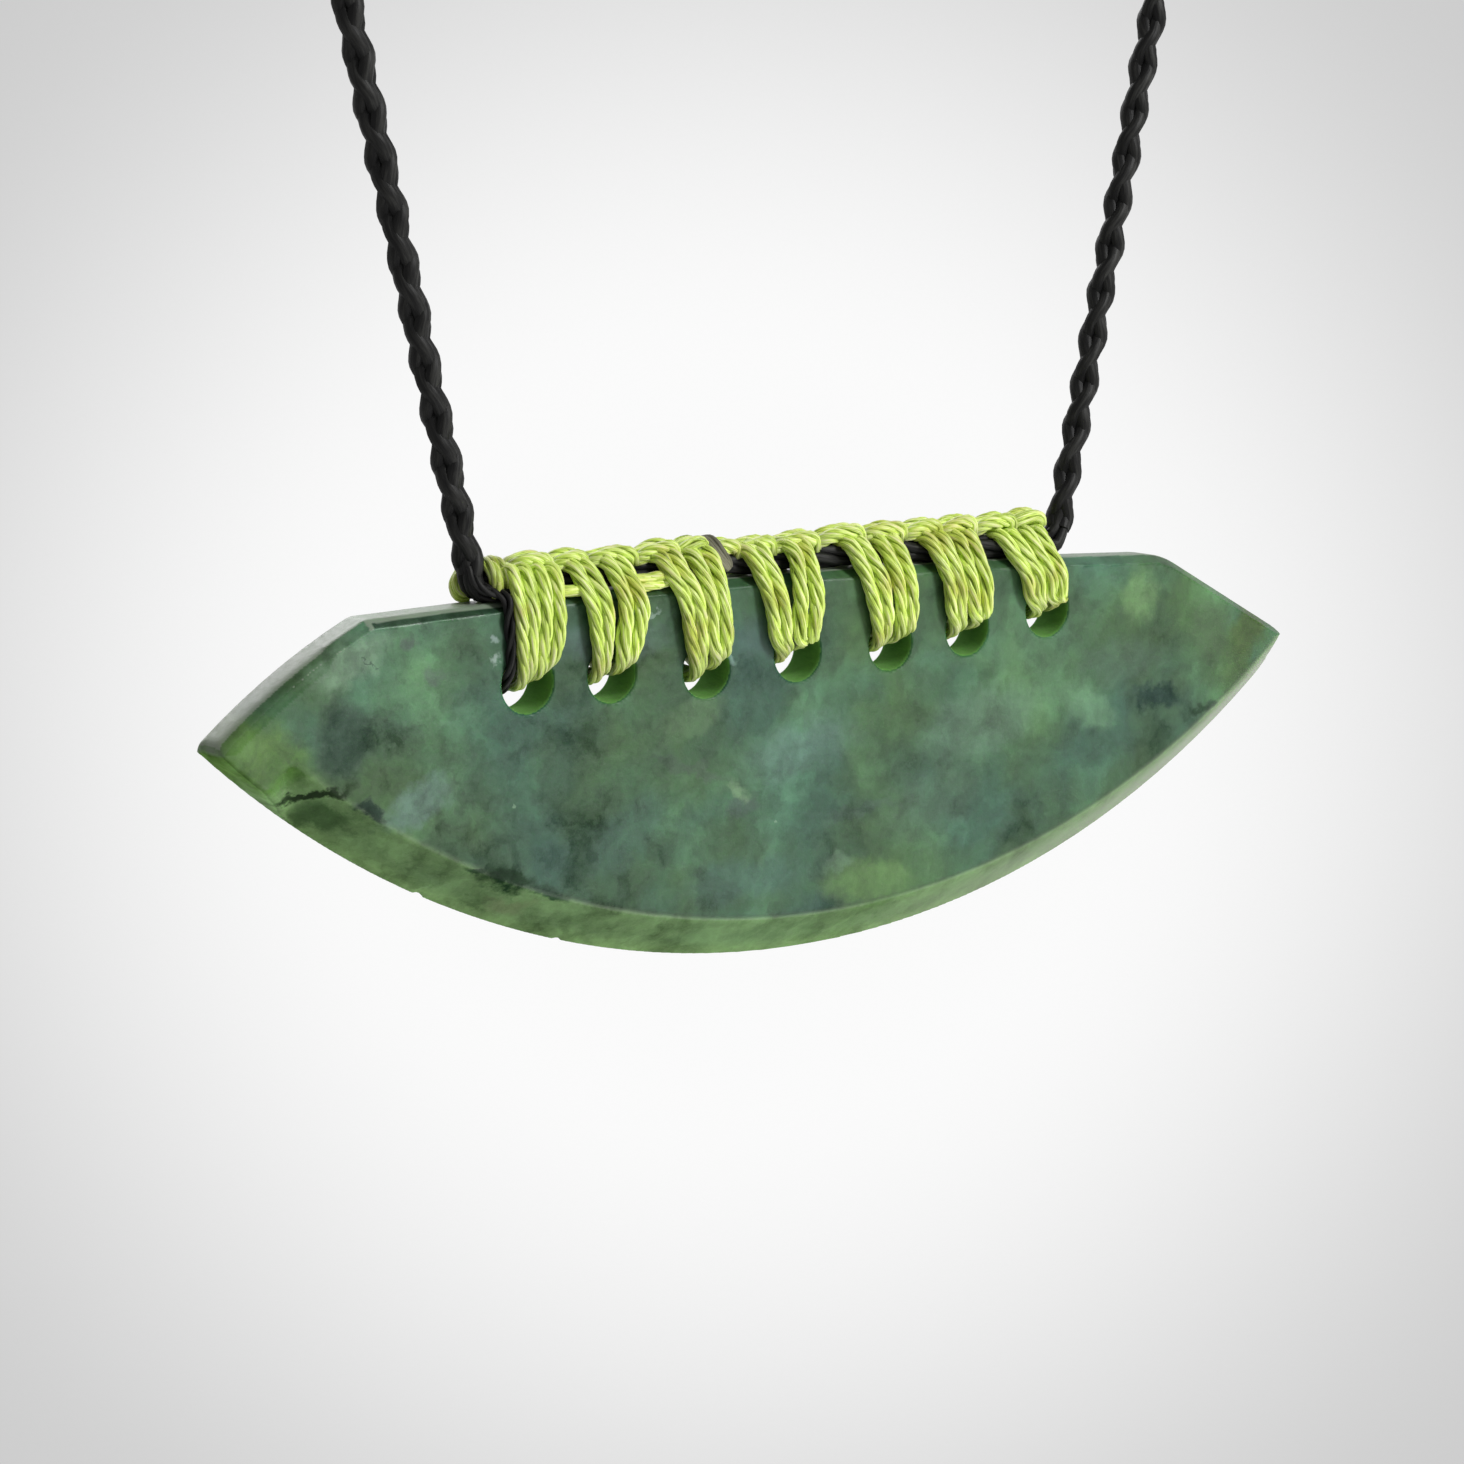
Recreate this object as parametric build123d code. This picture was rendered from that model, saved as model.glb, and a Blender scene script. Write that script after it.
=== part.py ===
from build123d import *
import math
import os

# Slab. X runs along its width, Y to the back, Z up from about the level of its two tips
BELLY_RADIUS = 73.8        # the belly is one arc from tip to tip
BELLY_DEPTH = 19.0
LOW_POINT_X = 0.75
TIP_LEFT_Z = 0.95          # heights of the tips, before they are rounded
TIP_RIGHT_Z = -0.5
TIP_LEFT_RADIUS = 0.6
TIP_RIGHT_RADIUS = 2.8
CORNER_LEFT = 37.8         # middle line to the left end of the top edge
CORNER_RIGHT = 34.1
CORNER_LEFT_Z = 8.7
CORNER_RIGHT_Z = 7.9
CORNER_LEFT_RADIUS = 1.2
CORNER_RIGHT_RADIUS = 7.0
SHOULDER_BULGE = 0.5       # how far the left shoulder curves out of the straight line
ARCH_RISE = 0.82           # how far the middle of the top edge stands above its ends
SLAB_THICKNESS = 3.4
BEVEL_WIDTH = 2.95         # belly bevel, across the front face
BEVEL_LAND = 0.3           # what the bevel leaves of the belly's wall
BEVEL_END = 39.5           # where it runs out on the left, degrees from the lowest point
BEVEL_END_LEAN = 55.0      # how far that end slants back over the stone, degrees
TOP_CHAMFER_FACE = 0.6     # top and shoulder chamfer, down the front face
TOP_CHAMFER_WALL = 0.8     # the same chamfer, across the top wall
BACK_CHAMFER = 0.5

# Drilled holes: place along the width, height of the centre and radius
HOLES = [
    {"x": -25.3, "z": 3.35, "radius": 2.1},
    {"x": -18.25, "z": 3.35, "radius": 2.0},
    {"x": -10.05, "z": 2.9, "radius": 2.0},
    {"x": -1.9, "z": 3.4, "radius": 2.05},
    {"x": 6.7, "z": 3.35, "radius": 1.95},
    {"x": 14.05, "z": 3.85, "radius": 2.0},
    {"x": 21.9, "z": 4.65, "radius": 2.05},
]
RIM_FRONT = 0.1            # broken edge of each hole in front
RIM_BACK = 0.25            # countersink behind

# Binding: waxed thread over a carrier of black strands
THREAD = 1.05
CARRIER_DIAMETER = 1.8
CARRIER_LEFT = -27.4
CARRIER_RIGHT = 22.9
FIT = 0.05                 # clearance between pieces of the binding
RIDGE_LUMPS = 15
RIDGE_LEFT = -27.3
RIDGE_RIGHT = 22.2
RIDGE_RADIUS = 0.62
RIDGE_NECK = 0.42
FOOT_HEIGHT = 1.9          # bundle of strands inside a hole
FOOT_LEFT = -1.5           # reach of the bundle from the hole's centre
FOOT_RIGHT = 1.1
BODY_BELOW_TOP = 1.1       # level at which a stitch is measured, below the slab's top edge
LEAN_FROM = 0.3            # the bands start to lean inward this far under the top edge
CARRIER_GRIP = 0.12        # gap between a leaning band and the side of the carrier
CROWN_HALF = 0.5           # half of the flat stretch over the carrier

# Each stitch's reach left and right of its hole, at the body level and at its crown
STITCHES = [
    {"body_left": -2.0, "body_right": 2.8, "crown_left": -1.9, "crown_right": 2.5},
    {"body_left": -3.3, "body_right": 2.6, "crown_left": -3.6, "crown_right": 2.5},
    {"body_left": -3.7, "body_right": 1.9, "crown_left": -4.2, "crown_right": 1.8},
    {"body_left": -3.7, "body_right": 2.1, "crown_left": -4.2, "crown_right": 2.3},
    {"body_left": -3.7, "body_right": 2.2, "crown_left": -4.3, "crown_right": 2.0},
    {"body_left": -3.6, "body_right": 1.9, "crown_left": -4.2, "crown_right": 1.6},
    {"body_left": -3.6, "body_right": 1.3, "crown_left": -4.6, "crown_right": 0.4},
]

# Neck cord
CORD_DIAMETER = 1.9
CORD_LEAN = 13.2           # how far each side leans outward, degrees from upright
TURN_RADIUS = 1.4          # where the strands turn up out of the carrier
CORD_ROUTE = [
    (-41.2, 0.0, 63.4),
    (-54.1, 1.2, 117.6),
    (-62.6, 11.0, 151.0),
    (-67.4, 35.0, 173.5),
    (-61.8, 66.0, 187.5),
    (-43.5, 92.5, 195.5),
    (-16.6, 107.0, 199.0),
    (13.4, 106.6, 199.2),
    (39.5, 91.4, 195.2),
    (57.2, 65.2, 187.0),
    (62.6, 34.2, 172.5),
    (57.4, 10.6, 150.0),
    (49.0, 1.0, 116.6),
    (36.4, 0.0, 62.6),
]
ARC_SHARE = 0.45           # part of the shorter run that an arc takes up

NAPE_LEFT, NAPE_RIGHT = [Vector(*point) for point in CORD_ROUTE[6:8]]
NAPE = (NAPE_LEFT + NAPE_RIGHT) / 2 - Vector(0, CORD_DIAMETER / 2, 0)
BACK_Y = SLAB_THICKNESS / 2
FRONT_Y = -SLAB_THICKNESS / 2
CHORD_LEFT, CHORD_RIGHT = Vector(-CORNER_LEFT, CORNER_LEFT_Z), Vector(CORNER_RIGHT, CORNER_RIGHT_Z)
CHORD = CHORD_RIGHT - CHORD_LEFT
CHORD_NORMAL = Vector(-CHORD.Y, CHORD.X).normalized()
ARCH_RADIUS = ((CHORD.length / 2)**2 + ARCH_RISE**2) / (2 * ARCH_RISE)
ARCH_CENTRE = (CHORD_LEFT + CHORD_RIGHT) / 2 - CHORD_NORMAL * (ARCH_RADIUS - ARCH_RISE)
ARCH_TOP_Z = ARCH_CENTRE.Y + ARCH_RADIUS
BELLY_CENTRE = Vector(LOW_POINT_X, BELLY_RADIUS - BELLY_DEPTH)


def arch_z(x, raised=0.0):
    """Height of the slab's top edge at x, or of a line that runs a little above it."""
    return ARCH_CENTRE.Y + math.sqrt((ARCH_RADIUS + raised)**2 - (x - ARCH_CENTRE.X)**2)


def tip(side, height):
    """The corner where the belly's arc reaches a height: side is -1 for the left and 1 for the right."""
    reach = math.sqrt(BELLY_RADIUS**2 - (BELLY_CENTRE.Y - height)**2)
    return Vector(BELLY_CENTRE.X + side * reach, height)


def outline(rounded):
    """The half-shield outline as a face in X and Z, with its tips sharp or rounded."""
    tip_left, tip_right = tip(-1, TIP_LEFT_Z), tip(1, TIP_RIGHT_Z)
    shoulder = CHORD_LEFT - tip_left
    shoulder_middle = (CHORD_LEFT + tip_left) / 2 + Vector(-shoulder.Y, shoulder.X).normalized() * SHOULDER_BULGE
    face = make_face([
        ThreePointArc(CHORD_LEFT, ARCH_CENTRE + CHORD_NORMAL * ARCH_RADIUS, CHORD_RIGHT),
        Line(CHORD_RIGHT, tip_right),
        ThreePointArc(tip_right, (LOW_POINT_X, -BELLY_DEPTH), tip_left),
        ThreePointArc(tip_left, shoulder_middle, CHORD_LEFT),
    ])
    roundings = [(CHORD_LEFT, CORNER_LEFT_RADIUS), (CHORD_RIGHT, CORNER_RIGHT_RADIUS)]
    if rounded:
        roundings += [(tip_left, TIP_LEFT_RADIUS), (tip_right, TIP_RIGHT_RADIUS)]
    for corner, radius in roundings:
        face = fillet(face.vertices().sort_by_distance(corner)[0], radius)
    return face


def plate(rounded):
    """The outline at the slab's full thickness."""
    return extrude(Plane.XZ.offset(FRONT_Y) * outline(rounded), SLAB_THICKNESS, dir=(0, -1, 0))


def belly_bevel():
    """The ring segment that the wide front bevel takes off along the belly."""
    depth = SLAB_THICKNESS - BEVEL_LAND
    spare, past_tip = 0.4, 8
    centre = Vector(BELLY_CENTRE.X, 0, BELLY_CENTRE.Y)
    tip_angle = math.degrees(math.asin((tip(1, TIP_RIGHT_Z).X - LOW_POINT_X) / BELLY_RADIUS))
    turn = math.radians(BEVEL_END + past_tip)
    outward = Vector(-math.sin(turn), 0, -math.cos(turn))
    inner_r, outer_r = BELLY_RADIUS - BEVEL_WIDTH * (1 + spare), BELLY_RADIUS + BEVEL_WIDTH * spare
    front, back = FRONT_Y - depth * spare, FRONT_Y + depth * (1 + spare)
    section = Plane(centre, x_dir=outward, z_dir=outward.cross(Vector(0, 1, 0)))
    triangle = section * make_face(Polyline((inner_r, front), (outer_r, back), (outer_r, front), close=True))
    ring = revolve(triangle, Axis(centre, (0, -1, 0)), BEVEL_END + tip_angle + 2 * past_tip)
    # the left end leans back over the stone, so the bevel runs out instead of stopping at a step
    end, lean = math.radians(BEVEL_END), math.radians(BEVEL_END_LEAN)
    edge_point = centre + Vector(-math.sin(end), 0, -math.cos(end)) * BELLY_RADIUS + Vector(0, FRONT_Y, 0)
    onward = Vector(math.cos(end), 0, -math.sin(end))
    facing = onward * math.cos(lean) + Vector(0, -1, 0) * math.sin(lean)
    reach = 4 * BELLY_RADIUS
    kept = Plane(edge_point, z_dir=facing) * Box(reach, reach, reach, align=(Align.CENTER, Align.CENTER, Align.MIN))
    return ring & kept


def hole(place):
    """One drilled hole, with a broken front edge and a countersink behind."""
    radius, run_out = place["radius"], 0.5
    profile = Polyline(
        (0, FRONT_Y - run_out), (radius + RIM_FRONT + run_out, FRONT_Y - run_out),
        (radius, FRONT_Y + RIM_FRONT), (radius, BACK_Y - RIM_BACK),
        (radius + RIM_BACK + run_out, BACK_Y + run_out), (0, BACK_Y + run_out), close=True)
    return Pos(place["x"], 0, place["z"]) * revolve(make_face(profile), Axis.Y)


def jade_shield():
    """The slab: chamfered top and shoulders, bevelled belly, rounded tips, seven holes."""
    slab = plate(False)
    top_front = slab.edges().group_by(Axis.Y)[0].filter_by(lambda edge: edge.center().Z > 0)
    front_face = slab.faces().sort_by(Axis.Y)[0]
    slab = chamfer(top_front, TOP_CHAMFER_FACE, TOP_CHAMFER_WALL, reference=front_face)
    top_back = slab.edges().group_by(Axis.Y)[-1].filter_by(lambda edge: edge.center().Z > 0)
    slab = chamfer(top_back, BACK_CHAMFER)
    slab -= belly_bevel()
    slab &= plate(True)
    for place in HOLES:
        slab -= hole(place)
    return slab


def round_bar(path, diameter):
    """A round bar along a path in the X, Y, Z of the part."""
    return sweep(Plane(path @ 0, z_dir=path % 0) * Circle(diameter / 2), path)


def carrier_height(x):
    """Height of the carrier's centre line at x."""
    return arch_z(x, FIT + CARRIER_DIAMETER / 2)


def carrier_cord():
    """The black strands that lie along the top edge, as one round bar."""
    stations = (CARRIER_LEFT, (CARRIER_LEFT + CARRIER_RIGHT) / 2, CARRIER_RIGHT)
    return round_bar(ThreePointArc(*[(x, 0, carrier_height(x)) for x in stations]), CARRIER_DIAMETER)


def ridge_height():
    """Height of the straight ridge's centre line."""
    return ARCH_TOP_Z + FIT + CARRIER_DIAMETER + FIT + RIDGE_RADIUS


def hitch_ridge():
    """The row of hitches on top of the carrier, as one scalloped bar."""
    pitch = (RIDGE_RIGHT - RIDGE_LEFT) / RIDGE_LUMPS
    starts = [RIDGE_LEFT + pitch * index for index in range(RIDGE_LUMPS)]
    lumps = [ThreePointArc((x, RIDGE_NECK), (x + pitch / 2, RIDGE_RADIUS), (x + pitch, RIDGE_NECK)) for x in starts]
    axis_line = Polyline((RIDGE_LEFT, RIDGE_NECK), (RIDGE_LEFT, 0), (RIDGE_RIGHT, 0), (RIDGE_RIGHT, RIDGE_NECK))
    return Pos(0, 0, ridge_height()) * revolve(make_face([*lumps, axis_line]), Axis.X)


def stitch(place, reach):
    """One lashing: up from its hole in front and behind, to the ridge on top of the carrier."""
    top = arch_z(place["x"])
    carrier = carrier_height(place["x"])
    over_carrier = carrier + CARRIER_DIAMETER / 2 + FIT
    widest = max(-FOOT_LEFT, FOOT_RIGHT)
    roof = place["z"] + math.sqrt(place["radius"]**2 - widest**2) - 2 * FIT
    side = BACK_Y + FIT
    hull = [
        (side, roof),
        (side, top - LEAN_FROM),
        (CARRIER_DIAMETER / 2 + CARRIER_GRIP, carrier + LEAN_FROM),
        (CROWN_HALF, over_carrier),
    ]
    inner = make_face(Polyline(*hull, *[(-y, z) for y, z in reversed(hull)], close=True))
    foot = Pos(0, roof - FOOT_HEIGHT / 2) * RectangleRounded(2 * (side + THREAD), FOOT_HEIGHT, 0.9 * THREAD / 2)
    slot = Pos(0, over_carrier + THREAD) * Rectangle(2 * (RIDGE_RADIUS + FIT), 2 * THREAD + 2 * FIT)
    band = offset(inner, THREAD, kind=Kind.ARC) + foot - inner - slot
    span = BELLY_RADIUS
    loop = extrude(Plane.YZ * band, span, both=True)
    levels = [
        (roof - FOOT_HEIGHT - THREAD, FOOT_LEFT, FOOT_RIGHT),
        (roof, FOOT_LEFT, FOOT_RIGHT),
        (top - BODY_BELOW_TOP, reach["body_left"], reach["body_right"]),
        (over_carrier + 2 * THREAD, reach["crown_left"], reach["crown_right"]),
    ]
    left_side = [(low, z) for z, low, high in levels]
    right_side = [(high, z) for z, low, high in reversed(levels)]
    fan = extrude(Plane.XZ * make_face(Polyline(*left_side, *right_side, close=True)), span, both=True)
    return Pos(place["x"], 0, 0) * (loop & fan)


def cord_direction(side):
    """Direction in which the cord leaves the binding, for side -1 (left) or 1 (right)."""
    lean = math.radians(CORD_LEAN)
    return Vector(side * math.sin(lean), 0, math.cos(lean))


def turn_ends(side):
    """Where a turn starts on the carrier's end, its direction there, and where the braid starts."""
    x = CARRIER_LEFT if side < 0 else CARRIER_RIGHT
    slope = math.asin((x - ARCH_CENTRE.X) / ARCH_RADIUS)
    along = Vector(side * math.cos(slope), 0, -side * math.sin(slope))
    away = cord_direction(side)
    reach = TURN_RADIUS * math.tan(math.radians(along.get_angle(away)) / 2)
    start = Vector(x, 0, carrier_height(x))
    return start, along, start + along * reach + away * reach


def cord_turn(side):
    """The strands between the carrier's end and the braid, as one bend."""
    start, along, end = turn_ends(side)
    return round_bar(TangentArc(start, end, tangent=along), CARRIER_DIAMETER)


def neck_cord():
    """The braid round the neck: straight runs joined by arcs as large as the runs allow."""
    points = [turn_ends(-1)[2], *[Vector(*point) for point in CORD_ROUTE], turn_ends(1)[2]]
    radii = []
    for before, here, after in zip(points, points[1:], points[2:]):
        run_in, run_out = here - before, after - here
        half_turn = math.radians(run_in.get_angle(run_out)) / 2
        radii.append(ARC_SHARE * min(run_in.length, run_out.length) / math.tan(half_turn))
    path = FilletPolyline(*points, radius=radii)
    cord = round_bar(path, CORD_DIAMETER)
    section = math.pi * (CORD_DIAMETER / 2)**2
    print("cord radii", [round(radius) for radius in radii])
    print("cord length %.1f, volume / (section x length) %.4f" % (path.length, cord.volume / (section * path.length)))
    return cord


def pieces():
    """Every piece by its node name, with the slab's middle as origin."""
    named = {
        "jade_shield": jade_shield(),
        "carrier_cord": carrier_cord(),
        "hitch_ridge": hitch_ridge(),
        "turn_left": cord_turn(-1),
        "turn_right": cord_turn(1),
        "neck_cord": neck_cord(),
    }
    for number, (place, reach) in enumerate(zip(HOLES, STITCHES), start=1):
        named["stitch_%d" % number] = stitch(place, reach)
    return named


os.makedirs("parts", exist_ok=True)
for name, solid in pieces().items():
    export_step(Pos(-NAPE) * solid, "parts/%s.step" % name)
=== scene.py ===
import logging
import math
import random
from dataclasses import dataclass, field
from enum import Enum

import bmesh
import bpy
from bpy.types import Material, Mesh, Node, NodeSocket, NodeTree, Object
from mathutils import Matrix, Vector
from mathutils.bvhtree import BVHTree


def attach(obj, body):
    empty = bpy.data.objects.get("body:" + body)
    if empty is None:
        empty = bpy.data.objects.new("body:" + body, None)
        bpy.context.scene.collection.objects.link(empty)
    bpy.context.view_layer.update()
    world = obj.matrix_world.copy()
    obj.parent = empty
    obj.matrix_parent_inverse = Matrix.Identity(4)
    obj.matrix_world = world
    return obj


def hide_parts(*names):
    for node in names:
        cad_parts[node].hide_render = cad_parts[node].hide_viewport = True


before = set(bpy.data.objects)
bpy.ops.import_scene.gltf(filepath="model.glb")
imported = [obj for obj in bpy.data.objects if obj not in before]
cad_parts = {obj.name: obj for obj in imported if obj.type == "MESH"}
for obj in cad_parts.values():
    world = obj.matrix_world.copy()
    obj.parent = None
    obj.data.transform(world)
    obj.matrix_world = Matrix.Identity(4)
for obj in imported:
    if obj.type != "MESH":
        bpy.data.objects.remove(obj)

logging.basicConfig(level=logging.INFO, format="%(message)s")
log = logging.getLogger("pendant")

Pair = tuple[float, float]
Triple = tuple[float, float, float]

MM = 0.001
# the nape, which is the origin, as seen from the middle of the slab, in millimetres
NAPE_MM = Vector((-1.6, 105.85, 199.1))
ROOT = "root"
# places along the slab, in millimetres: where the left cord turns up, the left end and its tip
CORD_X, LEFT_END_X, LEFT_TIP_X = -25.0, -41.0, -43.0
BLACK, WHITE = (0.0, 0.0, 0.0, 1.0), (1.0, 1.0, 1.0, 1.0)


def at(x: float, y: float, z: float) -> Vector:
    """Returns the scene place, in metres, of a point given in millimetres from the middle of the slab."""
    return (Vector((x, y, z)) - NAPE_MM) * MM


def clamp(value: float, low: float = 0.0, high: float = 1.0) -> float:
    """Returns the value, kept between two limits."""
    return min(max(value, low), high)


def linear(hex_colour: str) -> tuple[float, float, float, float]:
    """Returns the linear red, green, blue and an alpha of one for the six hex digits of an sRGB colour."""
    parts = [int(hex_colour[i:i + 2], 16) / 255 for i in (0, 2, 4)]
    red, green, blue = [p / 12.92 if p <= 0.04045 else ((p + 0.055) / 1.055) ** 2.4 for p in parts]
    return red, green, blue, 1.0


def place_object(name: str, data: bpy.types.ID, matrix: Matrix | None = None) -> Object:
    """Adds an object to the scene.

    Args:
        name: the object's name.
        data: its mesh, curve, lamp or camera.
        matrix: its place, or None for the origin.

    Returns:
        The new object.
    """
    item = bpy.data.objects.new(name, data)
    if matrix is not None:
        item.matrix_world = matrix
    bpy.context.scene.collection.objects.link(item)
    return item


def wire(tree: NodeTree, node: Node, inputs: dict) -> None:
    """Fills in a node's inputs.

    Args:
        tree: the node tree.
        node: the node.
        inputs: values, or sockets to link from, by the input's name or number.
    """
    for key, value in inputs.items():
        if isinstance(value, NodeSocket):
            tree.links.new(value, node.inputs[key])
        else:
            node.inputs[key].default_value = value


def add(tree: NodeTree, kind: str, inputs: dict | None = None, **settings: object) -> Node:
    """Adds a node with its settings and links.

    Args:
        tree: the node tree.
        kind: the node's type name.
        inputs: values, or sockets to link from, by the input's name or number.
        settings: the node's own properties.

    Returns:
        The new node.
    """
    node = tree.nodes.new(kind)
    for name, value in settings.items():
        setattr(node, name, value)
    wire(tree, node, inputs or {})
    return node


def calc(tree: NodeTree, operation: str, *values: object) -> NodeSocket:
    """Returns the result of a math node on sockets or numbers."""
    return add(tree, "ShaderNodeMath", dict(enumerate(values)), operation=operation).outputs[0]


def vector(tree: NodeTree, operation: str, first: object, second: object = None) -> NodeSocket:
    """Adds a vector math node.

    Args:
        tree: the node tree.
        operation: what it does.
        first: a socket or a vector.
        second: a socket or a vector, or a socket or a number where the operation is SCALE.

    Returns:
        The result's socket.
    """
    inputs = {0: first}
    if second is not None:
        inputs["Scale" if operation == "SCALE" else 1] = second
    node = add(tree, "ShaderNodeVectorMath", inputs, operation=operation)
    return node.outputs["Value" if operation in ("DOT_PRODUCT", "LENGTH") else "Vector"]


def noise(tree: NodeTree, place: NodeSocket, scale: float, detail: float, roughness: float = 0.5,
          seed: object = None) -> Node:
    """Adds a noise texture.

    Args:
        tree: the node tree.
        place: its coordinates.
        scale: cycles in one unit of the coordinates.
        detail: how many finer layers it has.
        roughness: how strong these are.
        seed: a fourth coordinate that tells one noise from another, or None.

    Returns:
        The texture node.
    """
    inputs = {"Vector": place, "Scale": scale, "Detail": detail, "Roughness": roughness}
    if seed is None:
        return add(tree, "ShaderNodeTexNoise", inputs)
    return add(tree, "ShaderNodeTexNoise", {**inputs, "W": seed}, noise_dimensions="4D")


def wander(tree: NodeTree, texture: Node, reach: object) -> NodeSocket:
    """Returns a shift to any side, reach long at most, made of a noise texture's colour."""
    return vector(tree, "SCALE", vector(tree, "SUBTRACT", texture.outputs["Color"], (0.5, 0.5, 0.5)), reach)


def attribute(tree: NodeTree, name: str, output: str = "Fac") -> NodeSocket:
    """Returns the socket of a mesh attribute in a shader."""
    return add(tree, "ShaderNodeAttribute", attribute_name=name).outputs[output]


def ramp(tree: NodeTree, factor: NodeSocket, stops: list[tuple[float, str]]) -> NodeSocket:
    """Adds a colour ramp.

    Args:
        tree: the node tree.
        factor: the socket that drives it.
        stops: places from 0 to 1 with their hex colours.

    Returns:
        The colour socket.
    """
    node = add(tree, "ShaderNodeValToRGB", {0: factor})
    elements = node.color_ramp.elements
    while len(elements) < len(stops):
        elements.new(0.5)
    for element, (place, colour) in zip(elements, stops):
        element.position = place
        element.color = linear(colour)
    return node.outputs[0]


def blend(tree: NodeTree, factor: object, first: NodeSocket, second: object, mode: str = "MIX") -> NodeSocket:
    """Returns the first colour with the second, a socket or a hex colour, mixed in as the factor grows to 1."""
    inputs = {0: factor, 6: first, 7: linear(second) if isinstance(second, str) else second}
    return add(tree, "ShaderNodeMix", inputs, data_type="RGBA", blend_type=mode).outputs[2]


def spread(tree: NodeTree, value: NodeSocket, low: float, high: float, to_low: float = 0.0, to_high: float = 1.0,
           smooth: bool = True) -> NodeSocket:
    """Returns the value mapped from the range low to high to the range to_low to to_high, clamped."""
    return add(tree, "ShaderNodeMapRange", {0: value, 1: low, 2: high, 3: to_low, 4: to_high},
               interpolation_type="SMOOTHSTEP" if smooth else "LINEAR").outputs[0]


def slab_millimetres(tree: NodeTree) -> NodeSocket:
    """Returns Object coordinates turned into millimetres from the middle of the slab."""
    place = add(tree, "ShaderNodeTexCoord").outputs["Object"]
    return add(tree, "ShaderNodeMapping", {0: place, 1: tuple(NAPE_MM), 3: (1000, 1000, 1000)}).outputs[0]


def new_material(name: str) -> tuple[Material, NodeTree, Node]:
    """Makes an empty node material.

    Args:
        name: the finish's name.

    Returns:
        The material, its tree and its Principled shader.
    """
    material = bpy.data.materials.new(name)
    material.use_nodes = True
    tree = material.node_tree
    tree.nodes.clear()
    shader = add(tree, "ShaderNodeBsdfPrincipled")
    add(tree, "ShaderNodeOutputMaterial", {0: shader.outputs[0]})
    return material, tree, shader


@dataclass(frozen=True)
class Patch:
    """A soft cloud of another colour, in the stone or a painted reflection on it, placed in millimetres on the slab's
    face.
    """

    x: float
    z: float
    long: float
    short: float
    tilt: float
    colour: str
    strength: float

    def factor(self, tree: NodeTree, place: NodeSocket) -> NodeSocket:
        """Adds the patch's soft outline.

        Args:
            tree: the node tree.
            place: coordinates in millimetres.

        Returns:
            A socket that is the patch's strength in its middle and 0 outside.
        """
        centred = vector(tree, "SUBTRACT", place, (self.x, 0.0, self.z))
        turned = add(tree, "ShaderNodeVectorRotate",
                     {"Vector": centred, "Axis": (0, 1, 0), "Angle": math.radians(self.tilt)})
        sized = vector(tree, "MULTIPLY", turned.outputs[0], (1 / self.long, 0.1, 1 / self.short))
        return spread(tree, vector(tree, "LENGTH", sized), 1.15, 0.45, 0.0, self.strength)


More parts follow.
